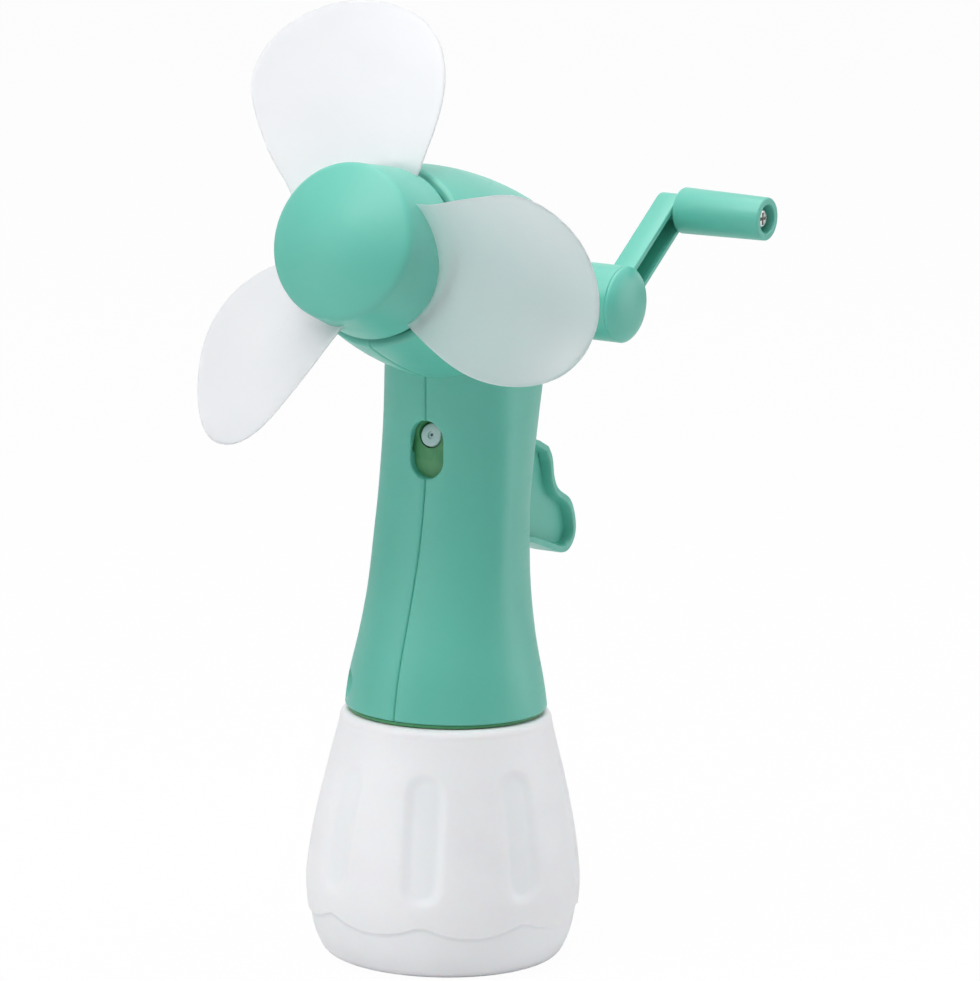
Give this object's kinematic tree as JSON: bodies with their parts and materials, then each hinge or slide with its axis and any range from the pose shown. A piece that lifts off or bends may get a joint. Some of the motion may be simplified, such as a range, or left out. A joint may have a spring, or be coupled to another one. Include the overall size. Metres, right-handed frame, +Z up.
{
  "type": "hand crank fan",
  "caption": "Hand-cranked personal fan with soft pitched blades and a trigger-worked water sprayer, standing on its screw-on refill bottle.",
  "frame": {"origin": "centre of the flat base that the bottle stands on", "axes": "+Z up; the rotor faces -Y and looks up by 16.5 degrees; the crank is on the +X side"},
  "size_m": [0.1071, 0.115, 0.228],
  "materials": {
    "mint_shell": "smooth moulded, pigmented",
    "mint_hub": "smooth moulded, pigmented",
    "mint_crank": "smooth moulded, pigmented",
    "soft_blade": "soft frosted sheet",
    "bottle_white": "blow moulded, satin",
    "screw_steel": "plated",
    "shaft_steel": "ground",
    "spring_steel": "drawn wire",
    "ball_steel": "polished",
    "bush_brass": "sintered",
    "gear_nylon": "moulded",
    "pump_white": "moulded",
    "nozzle_grey": "moulded",
    "tube_clear": "extruded, milky",
    "pump_green": "moulded",
    "seal_rubber": "moulded"
  },
  "bodies": {
    "handle": {"housing_left": "mint_shell", "housing_right": "mint_shell", "housing_screws": "screw_steel", "front_bush": "bush_brass", "rear_bush": "bush_brass", "crank_bush": "bush_brass", "pump_body": "pump_green", "pump_cap": "pump_green", "pump_spring": "spring_steel", "valve_ball": "ball_steel", "nozzle": "nozzle_grey", "dip_tube": "tube_clear", "neck_collar": "pump_green"},
    "rotor": {"rotor_hub": "mint_hub", "rotor_back": "mint_hub", "blade_1": "soft_blade", "blade_2": "soft_blade", "blade_3": "soft_blade", "fan_shaft": "shaft_steel", "shaft_clip": "shaft_steel", "fan_pinion": "gear_nylon"},
    "crank": {"crown_gear": "gear_nylon", "crank_shaft": "shaft_steel", "crank_arm": "mint_crank", "crank_cap": "mint_crank", "crank_screw": "screw_steel", "grip_screw": "screw_steel"},
    "grip": {"grip": "mint_crank"},
    "trigger": {"trigger": "mint_crank", "piston": "pump_white", "piston_seal": "seal_rubber"},
    "seal": {"gasket": "seal_rubber"},
    "bottle": {"bottle": "bottle_white"}
  },
  "joints": [
    {"name": "crank_spin", "type": "hinge", "parent": "handle", "child": "crank", "pos_m": [0, 0.01666, 0.15753], "axis": [1, 0, 0], "continuous": true},
    {"name": "fan_spin", "type": "hinge", "parent": "handle", "child": "rotor", "pos_m": [0, -0.0332, 0.1723], "axis": [0, -0.9588, 0.284], "continuous": true},
    {"name": "grip_spin", "type": "hinge", "parent": "crank", "child": "grip", "pos_m": [0, 0.04362, 0.17655], "axis": [1, 0, 0], "continuous": true},
    {"name": "trigger_pull", "type": "slide", "parent": "handle", "child": "trigger", "axis": [0, -0.9588, 0.284], "range_m": [0, 0.006], "stiffness_N_per_m": 250, "springref_m": -0.004, "deforming": ["pump_spring"]},
    {"name": "bottle_drop", "type": "slide", "parent": "handle", "child": "seal", "axis": [0, 0, -1], "range_m": [0, 0.0051]},
    {"name": "bottle_turn", "type": "hinge", "parent": "seal", "child": "bottle", "pos_m": [0, 0, 0.065], "axis": [0, 0, -1], "range_deg": [0, 450]}
  ],
  "couplings": [
    {"joint": "crank_spin", "follows": "fan_spin", "ratio": -0.2},
    {"joint": "bottle_drop", "follows": "bottle_turn", "m_per_rad": 0.00063662}
  ]
}
